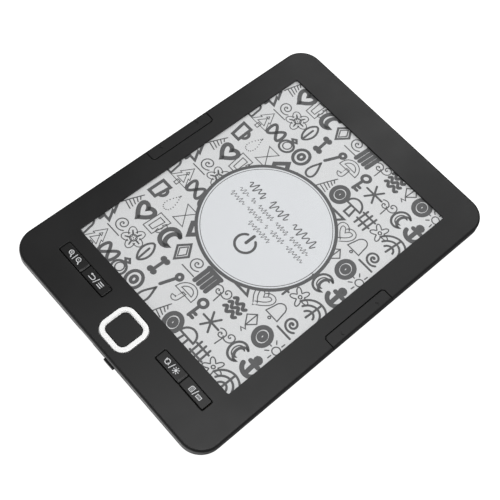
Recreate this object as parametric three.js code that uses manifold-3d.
// A six-inch e-reader: two plastic shells around an e-paper screen, with four
// keys and a five-way pad under the screen and a long rocker key on each side.
// Millimetres. The origin is the middle of the flat back face, +Z points out of
// the screen, +Y points to the top of the page and +X to the reader's right.

import * as THREE from 'three';
import { mergeVertices } from 'three/addons/utils/BufferGeometryUtils.js';
import Module from 'manifold-3d';

const wasm = await Module();
wasm.setup();

// Outer body
const BODY_W = 117.2;
const BODY_H = 164.2;
const BODY_T = 8.6;
const BODY_CORNER = 10;
const FRONT_EDGE = 1.1; // round of the front face's edge
const BACK_EDGE_IN = 5.5; // how far the back's rounded edge pulls in
const BACK_EDGE_UP = 4.4; // how high that round rises
const PARTING_Z = 5.6; // top rim of the back shell
const PARTING_GAP = 0.1;
const CORNER_STEPS = 6;
const SMALL_STEPS = 3; // facets in the corners of small parts
const PILL_STEPS = 4; // facets in the corners of very round parts
const EDGE_STEPS = { front: 3, back: 4 };
const CURVE_STEPS = 8; // facets along ribbons, wires and screws
const SHEET_CORNER = 1; // corner radius of the thin plates round the screen

// Shell walls
const SKIRT = 1.5; // front shell's side wall
const BACK_WALL = 1.8;
const RIM_WALL = 2.6; // back shell's wall where it thickens under the tongue
const RIM_Z = 4.3;
const FLOOR_Z = 1.3;
const RIM_SLOPE = 0.4; // height over which the rim thickens
// The tray's hollow as [height, distance in from the outline], from the floor up
const HOLLOW = [[FLOOR_Z, 4.0], [2, 2.8], [3, 2.1], [RIM_Z, BACK_WALL], [RIM_Z + RIM_SLOPE, RIM_WALL]];
const TONGUE_TOP = 6.4;
const TONGUE_OUT = 1.8;
const PLATE_Z = 7.1; // underside of the front plate
const CLIP_Z = 6.05;
const CLIP = { length: 6, reach: 0.5, height: 0.4, root: 0.4, room: 0.1 };
const CLIP_SPOTS = [
  { x: 35, side: 'top' }, { x: -35, side: 'top' },
  { x: 38, side: 'bottom' }, { x: -38, side: 'bottom' },
  { y: 50, side: 'right' }, { y: -45, side: 'right' },
  { y: 50, side: 'left' }, { y: -45, side: 'left' },
];

// Screen
const WINDOW = { w: 92, h: 122.2, y: 4.8, r: 0.8 };
const PANEL = { w: 101.8, h: 137, y: 8.6, bottom: 6.2, top: 7.2 };
const POCKET_ROOM = 0.4;
const POCKET_TOP = 7.9;
const GUIDE = { w: 97.2, h: 126.8, y: 5.5, bottom: 7.25, top: 7.65 };
const GASKET = { w: 101.6, h: 136.8, bottom: 7.68, top: 7.86, back: 0.6 };
const LIGHT_STRIP = { w: 90, h: 1.4, y: -59, bottom: 7.25, top: 7.6 };
const LED = { count: 9, w: 3, h: 0.9, base: 0.15 };

const RIBBON = 0.15; // thickness of the flat cables
const DISPLAY_FLEX = { bend: 1.3, lead: 0.4, root: 0.2, drop: 0.85, tail: 71.9, w: 30 };
const PANEL_CORNER = 0.6;

// Mid frame and its screws
const FRAME = { w: 103, bottom: 5.4, top: 6.1, low: -59.8, high: 77 };
const EAR = { x: 53.8, reach: 55.6, half: 2.2, rows: [70, 30, -50] };
const BOSS_R = 1.75;
const SCREW = { headR: 1.35, headH: 0.75, shankR: 0.8, length: 2.9, hole: 1.1 };

// Keys under the screen
const KEY = { w: 13.65, h: 5.2, top: 8.3, r: 0.7, bevel: 0.25, gap: 0.3, y: -65.35 };
const KEY_FLANGE = { h: 6.6, bottom: 6.4, top: 6.95 };
const KEY_PLUNGER = { r: 1, bottom: 5.9 };
const KEY_PAIR_X = 30.35; // middle of each pair of keys
const BOARD = { w: 100, high: -61, low: -79, bottom: 3.9, top: 4.7, r: 3 };
const BOARD_SCREWS = [[-45, -75], [-15, -73.5], [15, -73.5], [45, -75]];
const SWITCH = { size: 2.6, body: 0.5, nubR: 0.7, nub: 0.3 };

// Five-way pad
const PAD_Y = -70;
const RING = { out: 16.55, in: 12.3, outR: 5, inR: 2.8, top: 8.95, bottom: 7.0, bevel: 0.5 };
const RING_SKIRT = { out: 18.6, in: 14.2, flangeTop: 6.65, bottom: 6.35 };
const SKIRT_GROW = 0.8; // how much rounder the feet under the pad are than the pieces on them
const RING_ROOM = 0.3;
const OK = { size: 11.7, r: 2.5, top: 8.55, bevel: 0.4, flange: 13.4, flangeTop: 6.6, bottom: 6.2 };
const OK_PLUNGER = { r: 1.2, bottom: 5.85 };
const WEB = { out: 18.6, in: 14, bottom: 5.85, top: 6.05 };
const NAV_REACH = 7.9;

// Rocker keys on the long sides
const PAGE = { inner: 52.9, low: -11.85, high: 21.55, bottom: 6.85, gap: 0.3, notch: 6.45 };
const PAGE_FLANGE = { inner: 51.8, bottom: 6.35, top: 6.75, overlap: 0.3 };
const PAGE_RIB = { r: 0.35, out: 57.2 };
const PAGE_PLUNGER = { x: 54.2, r: 0.8, bottom: 5.95, reach: 12 };
const STRIP = { inner: 52.3, outer: 55.7, low: -10.3, high: 19.7, bottom: 4.2, top: 4.8 };
const POST = { size: 1.8, reach: 9 };

// Ports and the power button on the bottom edge
const USB = { x: -8.5, z: 3.75, w: 7.5, h: 2.5, front: -81.3, back: -75.8, wall: 0.35 };
const USB_SHAPE = { chamfer: 0.9, waist: 0.2 };
const USB_TONGUE = { front: 0.7, h: 0.55 };
const CARD = { x: -26, w: 14.2, h: 14.2, front: -79.3, bottom: 2.3, top: 3.8 };
const CARD_MOUTH = { w: 11.4, h: 0.9, depth: 12.5 };
const POWER = { x: 5.95, z: 4, w: 5.9, h: 1.6, proud: 0.7, bevel: 0.3 };
const POWER_FLANGE = { w: 6.9, h: 2.2, front: -80.25, back: -79.75 };
const POWER_NUB = { w: 1.6, h: 1, back: -79.55 };
const POWER_SWITCH = { w: 4.5, h: 1.6, front: -79, back: -76.8, nub: 0.3, nubHalf: 0.75 };
const RESET = { x: 24, z: 3.25, w: 3, h: 1.2, front: -79.5, back: -77.3, nub: 0.3, nubHalf: 0.375 };
const RESET_HOLE = { r: 0.5, depth: 6, sides: 10 };
const PORT_ROOM = 0.3; // free width round a part in its opening
const ROOT = 0.2; // how deep a joined piece reaches into its neighbour
const PAST = 1; // how far a cutting tool reaches past a face
const LIFT = 0.05; // gap between touching parts

// Electronics
const MAINBOARD = { w: 96, low: 32, high: 76, bottom: 4.2, top: 5.1, r: 1.5 };
const CHIP_TOP = 4.15;
const BATTERY = { w: 60, low: -50, high: 24, bottom: 1.6, top: 4.9, r: 1.6, edge: 0.5 };
const BATTERY_RIB = { thick: 0.8, height: 1.1, room: 0.5 };
const PLUG = { x: 10, w: 6, low: 33, high: 36.4, bottom: 2.5, top: 4.15 };
const WIRE = { r: 0.45, spread: 1.1, z: 3.5, bow: 0.9, sag: 0.2, gap: 0.3 };
const CHIPS = [
  { name: 'processor_chip', size: 14, height: 1.1, x: -24, y: 55 },
  { name: 'memory_chip', size: 11, height: 0.9, x: -6, y: 55 },
  { name: 'power_chip', size: 7, height: 0.8, x: 24, y: 46 },
];
const DISPLAY_PLUG = { w: 32, h: 4, height: 0.9, y: 69.6 };
const KEY_FLEX = { x: 43, w: 4, lift: 0.05, top: 36, topBend: 31, lowBend: -58, low: -66 };

// Finishes
const plastic = (color, roughness) => new THREE.MeshStandardMaterial({ color, roughness, metalness: 0 });
const metal = (color, roughness) => new THREE.MeshStandardMaterial({ color, roughness, metalness: 1 });
const BLACK = plastic(0x2f2f31, 0.5);
const KEY_BLACK = plastic(0x29292b, 0.45);
const WHITE = plastic(0xf6f6f6, 0.2);
const PAPER = plastic(0xdedfdd, 0.6);
const CLEAR = plastic(0xf4f8f8, 0.1);
CLEAR.transparent = true;
CLEAR.opacity = 0.2;
const FOAM = plastic(0x1c1c1c, 0.9);
const BOARD_GREEN = plastic(0x1d5138, 0.5);
const CHIP_BLACK = plastic(0x17181a, 0.4);
const AMBER = plastic(0xb8742a, 0.4);
const SILICONE = plastic(0x8d8f92, 0.6);
const FOIL = metal(0xb9bcc0, 0.35);
const ALLOY = metal(0xa9adb2, 0.45);
const STEEL = metal(0x8f9296, 0.3);
const RED = plastic(0xb3201c, 0.5);
const WIRE_BLACK = plastic(0x151515, 0.5);
const IVORY = plastic(0xe8e2d0, 0.5);

// ---------------------------------------------------------------- shapes

// Corner points of a rounded rectangle, counter-clockwise seen from above.
function roundedOutline(w, h, r, steps) {
  const points = [];
  [[1, 1], [-1, 1], [-1, -1], [1, -1]].forEach(([sx, sy], corner) => {
    for (let i = 0; i <= steps; i += 1) {
      const angle = (corner + i / steps) * Math.PI / 2;
      const x = sx * (w / 2 - r) + r * Math.cos(angle);
      const y = sy * (h / 2 - r) + r * Math.sin(angle);
      points.push([x, y]);
    }
  });
  return points;
}

// A closed solid through rounded rectangles stacked upwards. A level is {z, w, h, r}.
function loft(levels, steps = CORNER_STEPS) {
  const rings = levels.map(({ z, w, h, r }) => roundedOutline(w, h, r, steps).map(([x, y]) => [x, y, z]));
  const count = rings[0].length;
  const top = (rings.length - 1) * count;
  const index = [];
  for (let a = 0; a < top; a += 1) {
    const b = a % count === count - 1 ? a + 1 - count : a + 1;
    index.push(a, b, b + count, a, b + count, a + count);
  }
  for (let i = 1; i + 1 < count; i += 1) {
    index.push(0, i + 1, i);
    index.push(top, top + i, top + i + 1);
  }
  const geometry = new THREE.BufferGeometry();
  geometry.setAttribute('position', new THREE.Float32BufferAttribute(rings.flat(2), 3));
  geometry.setIndex(index);
  geometry.computeVertexNormals();
  return geometry;
}

// An upright prism with rounded corners between two heights.
function prism(w, h, r, bottom, top, steps = CORNER_STEPS) {
  return loft([{ z: bottom, w, h, r }, { z: top, w, h, r }], steps);
}

// A prism whose top edge is broken by a rounded bevel.
function cap(w, h, r, bottom, top, bevel, steps = CORNER_STEPS) {
  const levels = [{ z: bottom, w, h, r }];
  [0, 0.5, 1].forEach((share) => {
    const angle = share * Math.PI / 2;
    const inset = bevel * (1 - Math.cos(angle));
    const z = top - bevel + bevel * Math.sin(angle);
    levels.push({ z, w: w - 2 * inset, h: h - 2 * inset, r: r - inset });
  });
  return loft(levels, steps);
}

// A box given by its corners.
function block(x0, x1, y0, y1, z0, z1) {
  const geometry = new THREE.BoxGeometry(x1 - x0, y1 - y0, z1 - z0);
  return geometry.translate((x0 + x1) / 2, (y0 + y1) / 2, (z0 + z1) / 2);
}

// A round bar standing along Z.
function bar(r, bottom, top, sides = CURVE_STEPS) {
  const geometry = new THREE.CylinderGeometry(r, r, top - bottom, sides);
  return geometry.rotateX(Math.PI / 2).translate(0, 0, (bottom + top) / 2);
}

// A level of the body's outline, pulled in from the outside by inset.
function bodyLevel(z, inset) {
  return { z, w: BODY_W - 2 * inset, h: BODY_H - 2 * inset, r: BODY_CORNER - inset };
}

// ---------------------------------------------------------------- cutting and joining

function toSolid(geometry) {
  const bare = geometry.clone();
  bare.deleteAttribute('normal');
  bare.deleteAttribute('uv');
  const merged = mergeVertices(bare);
  const vertProperties = Float32Array.from(merged.attributes.position.array);
  const triVerts = Uint32Array.from(merged.index.array);
  return new wasm.Manifold(new wasm.Mesh({ numProp: 3, vertProperties, triVerts }));
}

function toGeometry(solid) {
  const mesh = solid.getMesh();
  const geometry = new THREE.BufferGeometry();
  geometry.setAttribute('position', new THREE.BufferAttribute(mesh.vertProperties, 3));
  geometry.setIndex(new THREE.BufferAttribute(mesh.triVerts, 1));
  geometry.computeVertexNormals();
  return geometry;
}

function join(body, ...pieces) {
  return toGeometry(pieces.reduce((solid, piece) => solid.add(toSolid(piece)), toSolid(body)));
}

function cut(body, ...tools) {
  return toGeometry(tools.reduce((solid, tool) => solid.subtract(toSolid(tool)), toSolid(body)));
}

function common(body, tool) {
  return toGeometry(toSolid(body).intersect(toSolid(tool)));
}

// ---------------------------------------------------------------- scene graph

const reader = new THREE.Group();

function group(...position) {
  const holder = new THREE.Group();
  holder.position.set(...position);
  reader.add(holder);
  return holder;
}

function add(name, geometry, material, parent, position = [0, 0, 0]) {
  const mesh = new THREE.Mesh(geometry, material);
  mesh.name = name;
  mesh.position.set(...position);
  parent.add(mesh);
}

const shells = group(0, 0, 0);
const display = group(0, 0, 0);
const electronics = group(0, 0, 0);
const chin = group(0, 0, 0);
const fiveWay = group(0, PAD_Y, 0);
const sideKeys = group(0, 0, 0);
const bottomEdge = group(0, 0, 0);
const fasteners = group(0, 0, 0);

// ---------------------------------------------------------------- shells

// The front shell's outside: a straight skirt and a quarter-round front edge.
function frontOutside(bottom) {
  const levels = [bodyLevel(bottom, 0)];
  for (let i = 0; i <= EDGE_STEPS.front; i += 1) {
    const angle = i / EDGE_STEPS.front * Math.PI / 2;
    const z = BODY_T - FRONT_EDGE + FRONT_EDGE * Math.sin(angle);
    levels.push(bodyLevel(z, FRONT_EDGE * (1 - Math.cos(angle))));
  }
  return loft(levels);
}

// One clip, or the recess it snaps into when grow is above zero.
function clip({ x = 0, y = 0, side }, grow) {
  const half = CLIP.length / 2 + grow;
  const low = CLIP_Z - CLIP.height / 2 - grow;
  const high = CLIP_Z + CLIP.height / 2 + grow;
  const across = side === 'top' || side === 'bottom';
  const sign = side === 'top' || side === 'right' ? 1 : -1;
  const edge = (across ? BODY_H : BODY_W) / 2 - TONGUE_OUT;
  const ends = [sign * (edge - CLIP.root), sign * (edge + CLIP.reach + grow)].sort((a, b) => a - b);
  if (across) return block(x - half, x + half, ...ends, low, high);
  return block(...ends, y - half, y + half, low, high);
}

function pageNotch(side) {
  const x = [side * (PAGE.inner - PAGE.gap), side * BODY_W].sort((a, b) => a - b);
  return block(...x, PAGE.low - PAGE.gap, PAGE.high + PAGE.gap, PAGE.notch, BODY_T + PAST);
}

function frontShell() {
  const slotW = 2 * KEY.w + 3 * KEY.gap;
  const slotH = KEY.h + 2 * KEY.gap;
  const slot = (side) => {
    return prism(slotW, slotH, KEY.r, PLATE_Z - PAST, BODY_T + PAST).translate(side * KEY_PAIR_X, KEY.y, 0);
  };
  const opening = RING.out + 2 * RING_ROOM;
  const frameScrews = EAR.rows.flatMap((y) => [[-EAR.x, y], [EAR.x, y]]);
  const bosses = [
    ...frameScrews.map(([x, y]) => bar(BOSS_R, FRAME.top + LIFT, PLATE_Z + ROOT).translate(x, y, 0)),
    ...BOARD_SCREWS.map(([x, y]) => bar(BOSS_R, BOARD.top + LIFT, PLATE_Z + ROOT).translate(x, y, 0)),
  ];
  const holes = [...frameScrews, ...BOARD_SCREWS];
  const pocketW = PANEL.w + 2 * POCKET_ROOM;
  const pocketH = PANEL.h + 2 * POCKET_ROOM;
  const pocket = prism(pocketW, pocketH, SHEET_CORNER, PLATE_Z - PAST, POCKET_TOP);
  const bottom = PARTING_Z + PARTING_GAP;
  const hollow = loft([bodyLevel(bottom - PAST, SKIRT), bodyLevel(PLATE_Z, SKIRT)]);
  const tub = cut(frontOutside(bottom), hollow, pocket.translate(0, PANEL.y, 0));
  const cuts = [
    prism(WINDOW.w, WINDOW.h, WINDOW.r, PLATE_Z - PAST, BODY_T + PAST).translate(0, WINDOW.y, 0),
    slot(-1),
    slot(1),
    prism(opening, opening, RING.outR + RING_ROOM, PLATE_Z - PAST, BODY_T + PAST).translate(0, PAD_Y, 0),
    pageNotch(-1),
    pageNotch(1),
    ...holes.map(([x, y]) => bar(SCREW.hole, BOARD.bottom, POCKET_TOP).translate(x, y, 0)),
    ...CLIP_SPOTS.map((spot) => clip(spot, CLIP.room)),
  ];
  return cut(join(tub, ...bosses), ...cuts);
}

// The back shell's outside: flat back, elliptical edge, then an upright wall.
function backOutside() {
  const levels = [];
  for (let i = 0; i <= EDGE_STEPS.back; i += 1) {
    const angle = i / EDGE_STEPS.back * Math.PI / 2;
    levels.push(bodyLevel(BACK_EDGE_UP * (1 - Math.cos(angle)), BACK_EDGE_IN * (1 - Math.sin(angle))));
  }
  levels.push(bodyLevel(PARTING_Z, 0));
  return loft(levels);
}

function batteryRibs() {
  const { thick, height, room } = BATTERY_RIB;
  const x = BATTERY.w / 2 + room;
  const low = BATTERY.low - room;
  const high = BATTERY.high + room;
  const top = FLOOR_Z + height;
  const under = FLOOR_Z - ROOT;
  return [
    block(-x - thick, -x, low, high, under, top),
    block(x, x + thick, low, high, under, top),
    block(-x - thick, x + thick, low - thick, low, under, top),
  ];
}

function stripPosts() {
  const x = (STRIP.inner + STRIP.outer) / 2;
  const y = (PAGE.low + PAGE.high) / 2;
  const half = POST.size / 2;
  const spots = [-1, 1].flatMap((side) => [-1, 1].map((end) => [side * x, y + end * POST.reach]));
  const top = STRIP.bottom - 2 * LIFT;
  return spots.map(([px, py]) => block(px - half, px + half, py - half, py + half, FLOOR_Z - ROOT, top));
}

// A block through the lower wall, as wide and high as a part plus the room round it.
function portCut({ x, w, h }, z, front) {
  const halfW = w / 2 + PORT_ROOM;
  const halfH = h / 2 + PORT_ROOM;
  const inside = -BODY_H / 2 + RIM_WALL + RIM_SLOPE;
  return block(x - halfW, x + halfW, front, inside, z - halfH, z + halfH);
}

function backShell() {
  const levels = HOLLOW.map(([z, inset]) => bodyLevel(z, inset));
  const hollow = loft([...levels, bodyLevel(TONGUE_TOP + PAST, RIM_WALL)]);
  const tongue = loft([bodyLevel(PARTING_Z - CLIP.root, TONGUE_OUT), bodyLevel(TONGUE_TOP, TONGUE_OUT)]);
  const tub = cut(join(backOutside(), tongue), hollow);
  const outer = -BODY_H / 2 - PAST;
  const resetHole = bar(RESET_HOLE.r, 0, RESET_HOLE.depth, RESET_HOLE.sides)
    .rotateX(Math.PI / 2).translate(RESET.x, outer + RESET_HOLE.depth, RESET.z);
  const cuts = [
    portCut(USB, USB.z, outer),
    portCut(POWER, POWER.z, outer),
    portCut({ ...POWER_FLANGE, x: POWER.x }, POWER.z, POWER_FLANGE.front - LIFT),
    portCut({ ...CARD_MOUTH, x: CARD.x }, (CARD.bottom + CARD.top) / 2, outer),
    resetHole,
  ];
  const clips = CLIP_SPOTS.map((spot) => clip(spot, 0));
  return cut(join(tub, ...clips, ...batteryRibs(), ...stripPosts()), ...cuts);
}

add('front_shell', frontShell(), BLACK, shells);
add('back_shell', backShell(), BLACK, shells);

// ---------------------------------------------------------------- screen

function gasket() {
  const { w, h, bottom, top, back } = GASKET;
  const frame = prism(w, h, SHEET_CORNER, bottom, top).translate(0, PANEL.y, 0);
  const hole = prism(WINDOW.w + 2 * back, WINDOW.h + 2 * back, SHEET_CORNER, bottom - PAST, top + PAST);
  return cut(frame, hole.translate(0, WINDOW.y, 0));
}

function lightStrip() {
  const { w, h, y, bottom, top } = LIGHT_STRIP;
  const pitch = w / LED.count;
  const base = block(-w / 2, w / 2, y - h / 2, y + h / 2, bottom, bottom + LED.base);
  const leds = [];
  for (let i = 0; i < LED.count; i += 1) {
    const x = -w / 2 + pitch * (i + 0.5);
    leds.push(block(x - LED.w / 2, x + LED.w / 2, y - LED.h / 2, y + LED.h / 2, bottom + LIFT, top));
  }
  return join(base, ...leds);
}

// The screen's ribbon: out of the panel's top edge, round, and back under the mainboard.
function displayFlex() {
  const { bend, lead, root, drop, tail, w } = DISPLAY_FLEX;
  const outer = bend + RIBBON;
  const y = PANEL.y + PANEL.h / 2 + lead;
  const z = PANEL.bottom - drop;
  const shape = new THREE.Shape();
  shape.moveTo(y - root, z + bend);
  shape.absarc(y, z, bend, Math.PI / 2, -Math.PI / 2, true);
  shape.lineTo(tail, z - bend);
  shape.lineTo(tail, z - outer);
  shape.lineTo(y, z - outer);
  shape.absarc(y, z, outer, -Math.PI / 2, Math.PI / 2, false);
  shape.lineTo(y - root, z + outer);
  const sweep = { depth: w, bevelEnabled: false, curveSegments: CURVE_STEPS };
  const geometry = new THREE.ExtrudeGeometry(shape, sweep);
  return geometry.translate(0, 0, -w / 2).rotateX(Math.PI / 2).rotateZ(Math.PI / 2);
}

const panelShape = prism(PANEL.w, PANEL.h, PANEL_CORNER, PANEL.bottom, PANEL.top, SMALL_STEPS);
const guideShape = prism(GUIDE.w, GUIDE.h, PANEL_CORNER, GUIDE.bottom, GUIDE.top, SMALL_STEPS);
add('epaper_panel', panelShape, PAPER, display, [0, PANEL.y, 0]);
add('light_guide', guideShape, CLEAR, display, [0, GUIDE.y, 0]);
add('light_strip', lightStrip(), AMBER, display);
add('window_gasket', gasket(), FOAM, display);
add('display_flex', displayFlex(), AMBER, display);

// ---------------------------------------------------------------- mid frame and electronics

function midFrame() {
  const { w, bottom, top, low, high } = FRAME;
  const plate = prism(w, high - low, SHEET_CORNER, bottom, top, SMALL_STEPS).translate(0, (high + low) / 2, 0);
  const ears = EAR.rows.map((y) => block(-EAR.reach, EAR.reach, y - EAR.half, y + EAR.half, bottom, top));
  const holes = EAR.rows.flatMap((y) => [-1, 1].map((side) => {
    return bar(SCREW.hole, bottom - PAST, top + PAST).translate(side * EAR.x, y, 0);
  }));
  return cut(join(plate, ...ears), ...holes);
}

function chip(size, height) {
  return block(-size / 2, size / 2, -size / 2, size / 2, CHIP_TOP - height, CHIP_TOP);
}

function batteryPack() {
  const { w, low, high, bottom, top, r, edge } = BATTERY;
  const h = high - low;
  const face = { w: w - 2 * edge, h: h - 2 * edge, r };
  return loft([
    { z: bottom, ...face },
    { z: bottom + edge, w, h, r },
    { z: top - edge, w, h, r },
    { z: top, ...face },
  ], PILL_STEPS);
}

// A lead from the battery's top edge to its plug, with a slack bow in it.
function batteryWire(x) {
  const start = BATTERY.high + WIRE.gap;
  const end = PLUG.low - WIRE.gap;
  const path = new THREE.CatmullRomCurve3([
    new THREE.Vector3(x, start, WIRE.z),
    new THREE.Vector3(x + WIRE.bow, (start + end) / 2, WIRE.z - WIRE.sag),
    new THREE.Vector3(x, end, WIRE.z),
  ]);
  const section = new THREE.Shape();
  section.absarc(0, 0, WIRE.r, 0, Math.PI * 2);
  const sweep = { steps: CURVE_STEPS, curveSegments: CURVE_STEPS / 2, extrudePath: path };
  return new THREE.ExtrudeGeometry(section, sweep);
}

// The ribbon between the two boards: flat on each, sloping down between them.
function keyFlex() {
  const { x, w, lift, top, topBend, lowBend, low } = KEY_FLEX;
  const high = MAINBOARD.top + lift;
  const deep = BOARD.top + lift;
  const path = [[top, high], [topBend, high], [lowBend, deep], [low, deep]];
  const shape = new THREE.Shape();
  path.forEach(([y, z], i) => (i ? shape.lineTo(y, z) : shape.moveTo(y, z)));
  [...path].reverse().forEach(([y, z]) => shape.lineTo(y, z + RIBBON));
  const geometry = new THREE.ExtrudeGeometry(shape, { depth: w, bevelEnabled: false });
  return geometry.rotateX(Math.PI / 2).rotateZ(Math.PI / 2).translate(x, 0, 0);
}

function mainboard() {
  const { w, low, high, bottom, top, r } = MAINBOARD;
  return prism(w, high - low, r, bottom, top, SMALL_STEPS).translate(0, (high + low) / 2, 0);
}

function connector(w, h, height) {
  return block(-w / 2, w / 2, -h / 2, h / 2, CHIP_TOP - height, CHIP_TOP);
}

const plugY = (PLUG.low + PLUG.high) / 2;
const batteryY = (BATTERY.low + BATTERY.high) / 2;
const displayPlug = connector(DISPLAY_PLUG.w, DISPLAY_PLUG.h, DISPLAY_PLUG.height);
const batteryPlug = connector(PLUG.w, PLUG.high - PLUG.low, PLUG.top - PLUG.bottom);
add('mid_frame', midFrame(), ALLOY, electronics);
add('mainboard', mainboard(), BOARD_GREEN, electronics);
CHIPS.forEach(({ name, size, height, x, y }) => {
  add(name, chip(size, height), CHIP_BLACK, electronics, [x, y, 0]);
});
add('display_connector', displayPlug, IVORY, electronics, [0, DISPLAY_PLUG.y, 0]);
add('battery', batteryPack(), FOIL, electronics, [0, batteryY, 0]);
add('battery_plug', batteryPlug, IVORY, electronics, [PLUG.x, plugY, 0]);
add('battery_wire_red', batteryWire(PLUG.x - WIRE.spread), RED, electronics);
add('battery_wire_black', batteryWire(PLUG.x + WIRE.spread), WIRE_BLACK, electronics);
add('key_flex', keyFlex(), AMBER, electronics);

// ---------------------------------------------------------------- key board and switches

function keyBoard() {
  const { w, low, high, bottom, top, r } = BOARD;
  const plate = prism(w, high - low, r, bottom, top).translate(0, (high + low) / 2, 0);
  const notch = (x, width, back) => {
    const half = width / 2 + PORT_ROOM;
    return block(x - half, x + half, low - PAST, back + PORT_ROOM, bottom - PAST, top + PAST);
  };
  return cut(
    plate,
    notch(USB.x, USB.w, USB.back),
    notch(POWER.x, POWER_SWITCH.w, POWER_SWITCH.back),
    ...BOARD_SCREWS.map(([x, y]) => bar(SCREW.hole, bottom - PAST, top + PAST).translate(x, y, 0)),
  );
}

// A dome switch standing on a board at its own zero height.
function domeSwitch() {
  const half = SWITCH.size / 2;
  const body = block(-half, half, -half, half, 0, SWITCH.body);
  return join(body, bar(SWITCH.nubR, SWITCH.body - LIFT, SWITCH.body + SWITCH.nub));
}

function addSwitch(name, x, y, boardTop) {
  add(name, domeSwitch(), STEEL, chin, [x, y, boardTop + LIFT]);
}

const keyOffset = (KEY.w + KEY.gap) / 2;
const KEYS = [
  ['zoom', -KEY_PAIR_X - keyOffset],
  ['menu', -KEY_PAIR_X + keyOffset],
  ['refresh', KEY_PAIR_X - keyOffset],
  ['list', KEY_PAIR_X + keyOffset],
];

function chinKey() {
  const top = cap(KEY.w, KEY.h, KEY.r, KEY_FLANGE.bottom, KEY.top, KEY.bevel, SMALL_STEPS);
  const flange = prism(KEY.w, KEY_FLANGE.h, KEY.r, KEY_FLANGE.bottom, KEY_FLANGE.top, SMALL_STEPS);
  return join(top, flange, bar(KEY_PLUNGER.r, KEY_PLUNGER.bottom, KEY_FLANGE.bottom + ROOT));
}

add('key_board', keyBoard(), BOARD_GREEN, chin);
KEYS.forEach(([name, x]) => {
  add(`${name}_key`, chinKey(), KEY_BLACK, chin, [x, KEY.y, 0]);
  addSwitch(`${name}_switch`, x, KEY.y, BOARD.top);
});

// ---------------------------------------------------------------- five-way pad

function navRing() {
  const band = cap(RING.out, RING.out, RING.outR, RING_SKIRT.flangeTop - ROOT, RING.top, RING.bevel);
  const { out, bottom, flangeTop } = RING_SKIRT;
  const flange = prism(out, out, RING.outR + SKIRT_GROW, bottom, flangeTop);
  const bore = prism(RING.in, RING.in, RING.inR, RING.bottom - ROOT, RING.top + PAST);
  const recess = prism(RING_SKIRT.in, RING_SKIRT.in, RING.inR + SKIRT_GROW, bottom - PAST, RING.bottom);
  return cut(join(band, flange), bore, recess);
}

function okKey() {
  const top = cap(OK.size, OK.size, OK.r, OK.bottom, OK.top, OK.bevel);
  const flange = prism(OK.flange, OK.flange, OK.r + SKIRT_GROW, OK.bottom, OK.flangeTop);
  return join(top, flange, bar(OK_PLUNGER.r, OK_PLUNGER.bottom, OK.bottom + ROOT));
}

function navWeb() {
  const sheet = prism(WEB.out, WEB.out, RING.outR + SKIRT_GROW, WEB.bottom, WEB.top);
  return cut(sheet, prism(WEB.in, WEB.in, RING.inR + SKIRT_GROW, WEB.bottom - PAST, WEB.top + PAST));
}

add('nav_ring', navRing(), WHITE, fiveWay);
add('ok_key', okKey(), KEY_BLACK, fiveWay);
add('nav_pad', navWeb(), SILICONE, fiveWay);
addSwitch('ok_switch', 0, PAD_Y, BOARD.top);
[['up', 0, 1], ['down', 0, -1], ['left', -1, 0], ['right', 1, 0]].forEach(([name, x, y]) => {
  addSwitch(`nav_switch_${name}`, x * NAV_REACH, PAD_Y + y * NAV_REACH, BOARD.top);
});

// ---------------------------------------------------------------- side rocker keys

// One rocker: the piece of the front shell's edge that its notch leaves free.
function pageKey(side) {
  const span = (a, b) => [side * a, side * b].sort((p, q) => p - q);
  const middle = (PAGE.low + PAGE.high) / 2;
  const shoulder = block(...span(PAGE.inner, BODY_W), PAGE.low, PAGE.high, PAGE.bottom, BODY_T + PAST);
  const top = common(frontOutside(PARTING_Z), shoulder);
  const lip = block(
    ...span(PAGE_FLANGE.inner, PAGE.inner + PAGE_FLANGE.overlap),
    PAGE.low, PAGE.high, PAGE_FLANGE.bottom, PAGE_FLANGE.top,
  );
  const web = block(
    ...span(PAGE.inner, PAGE.inner + 2 * PAGE_FLANGE.overlap),
    PAGE.low, PAGE.high, PAGE_FLANGE.bottom, PAGE.bottom + ROOT,
  );
  const rib = bar(PAGE_RIB.r, PAGE.inner + PAGE_FLANGE.overlap, PAGE_RIB.out)
    .rotateY(side * Math.PI / 2).translate(0, middle, PAGE.bottom);
  const plungers = [-1, 1].map((end) => {
    return bar(PAGE_PLUNGER.r, PAGE_PLUNGER.bottom, PAGE.bottom + ROOT)
      .translate(side * PAGE_PLUNGER.x, middle + end * PAGE_PLUNGER.reach, 0);
  });
  return join(top, lip, web, rib, ...plungers);
}

function pageStrip(side) {
  const x = [side * STRIP.inner, side * STRIP.outer].sort((a, b) => a - b);
  return block(...x, STRIP.low, STRIP.high, STRIP.bottom, STRIP.top);
}

[['left', -1], ['right', 1]].forEach(([name, side]) => {
  const middle = (PAGE.low + PAGE.high) / 2;
  add(`page_key_${name}`, pageKey(side), BLACK, sideKeys);
  add(`page_strip_${name}`, pageStrip(side), BOARD_GREEN, sideKeys);
  [['upper', 1], ['lower', -1]].forEach(([place, end]) => {
    const y = middle + end * PAGE_PLUNGER.reach;
    addSwitch(`page_switch_${name}_${place}`, side * PAGE_PLUNGER.x, y, STRIP.top);
  });
});

// ---------------------------------------------------------------- bottom edge

// The socket's section: a rectangle with its two lower corners cut off.
function usbOutline(grow) {
  const w = USB.w / 2 - grow;
  const h = USB.h / 2 - grow;
  const waist = -h * USB_SHAPE.waist;
  const shape = new THREE.Shape();
  shape.moveTo(-w, h);
  shape.lineTo(-w, waist);
  shape.lineTo(-w + USB_SHAPE.chamfer, -h);
  shape.lineTo(w - USB_SHAPE.chamfer, -h);
  shape.lineTo(w, waist);
  shape.lineTo(w, h);
  return shape;
}

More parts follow.
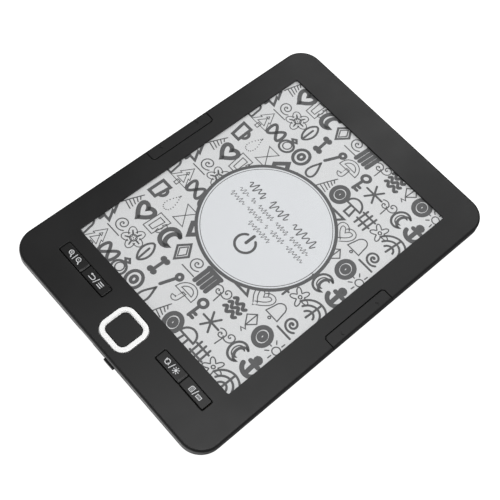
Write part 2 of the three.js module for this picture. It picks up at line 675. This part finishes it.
function usbTube(grow, depth) {
  const geometry = new THREE.ExtrudeGeometry(usbOutline(grow), { depth, bevelEnabled: false });
  return geometry.rotateX(Math.PI / 2).translate(0, depth, 0);
}

// A micro-USB receptacle: a folded tube with a closed end and a tongue inside.
function usbSocket() {
  const depth = USB.back - USB.front;
  const bore = usbTube(USB.wall, depth - 2 * USB.wall).translate(0, -LIFT, 0);
  const tongue = block(-USB.w / 4, USB.w / 4, USB_TONGUE.front, depth - USB.wall, 0, USB_TONGUE.h);
  return join(cut(usbTube(0, depth), bore), tongue);
}

function cardSocket() {
  const { w, h, bottom, top } = CARD;
  const middle = (bottom + top) / 2;
  const halfW = CARD_MOUTH.w / 2;
  const halfH = CARD_MOUTH.h / 2;
  const body = block(-w / 2, w / 2, 0, h, bottom, top);
  return cut(body, block(-halfW, halfW, -PAST, CARD_MOUTH.depth, middle - halfH, middle + halfH));
}

// The power button: a rounded bar through the wall, with a flange and a nub behind it.
function powerButton() {
  const length = POWER_FLANGE.front + BODY_H / 2 + POWER.proud;
  const thumb = cap(POWER.w, POWER.h, POWER.h / 2 - LIFT, 0, length, POWER.bevel, PILL_STEPS);
  thumb.rotateX(Math.PI / 2).translate(0, POWER_FLANGE.front, POWER.z);
  const slab = ({ w, h }, front, back) => {
    return block(-w / 2, w / 2, front, back, POWER.z - h / 2, POWER.z + h / 2);
  };
  const flange = slab(POWER_FLANGE, POWER_FLANGE.front - LIFT, POWER_FLANGE.back);
  const nub = slab(POWER_NUB, POWER_FLANGE.back - LIFT, POWER_NUB.back);
  return join(thumb, flange, nub);
}

function powerSwitch() {
  const { w, h, front, back, nub, nubHalf } = POWER_SWITCH;
  const body = block(-w / 2, w / 2, front, back, POWER.z - h / 2, POWER.z + h / 2);
  const actuator = block(-nubHalf, nubHalf, front - nub, front + LIFT, POWER.z - h / 4, POWER.z + h / 4);
  return join(body, actuator);
}

function resetSwitch() {
  const { w, h, z, front, back, nub, nubHalf } = RESET;
  const body = block(-w / 2, w / 2, front + nub, back, z - h / 2, z + h / 2);
  return join(body, block(-nubHalf, nubHalf, front, front + nub + LIFT, z - h / 4, z + h / 4));
}

add('usb_socket', usbSocket(), STEEL, bottomEdge, [USB.x, USB.front, USB.z]);
add('card_socket', cardSocket(), STEEL, bottomEdge, [CARD.x, CARD.front, 0]);
add('power_button', powerButton(), BLACK, bottomEdge, [POWER.x, 0, 0]);
add('power_switch', powerSwitch(), STEEL, bottomEdge, [POWER.x, 0, 0]);
add('reset_switch', resetSwitch(), STEEL, bottomEdge, [RESET.x, 0, 0]);

// ---------------------------------------------------------------- screws

// A small cheese-head screw standing on its head.
function screw() {
  const { headR, headH, shankR, length } = SCREW;
  const profile = [[0, 0], [headR, 0], [headR, headH], [shankR, headH], [shankR, length], [0, length]];
  const points = profile.map(([r, z]) => new THREE.Vector2(r, z));
  return new THREE.LatheGeometry(points, CURVE_STEPS).rotateX(Math.PI / 2);
}

function addScrews(prefix, spots, seat) {
  spots.forEach(([x, y], i) => {
    add(`${prefix}_${i + 1}`, screw(), STEEL, fasteners, [x, y, seat - LIFT - SCREW.headH]);
  });
}

addScrews('board_screw', BOARD_SCREWS, BOARD.bottom);
addScrews('frame_screw', EAR.rows.flatMap((y) => [[-EAR.x, y], [EAR.x, y]]), FRAME.bottom);

export default reader;
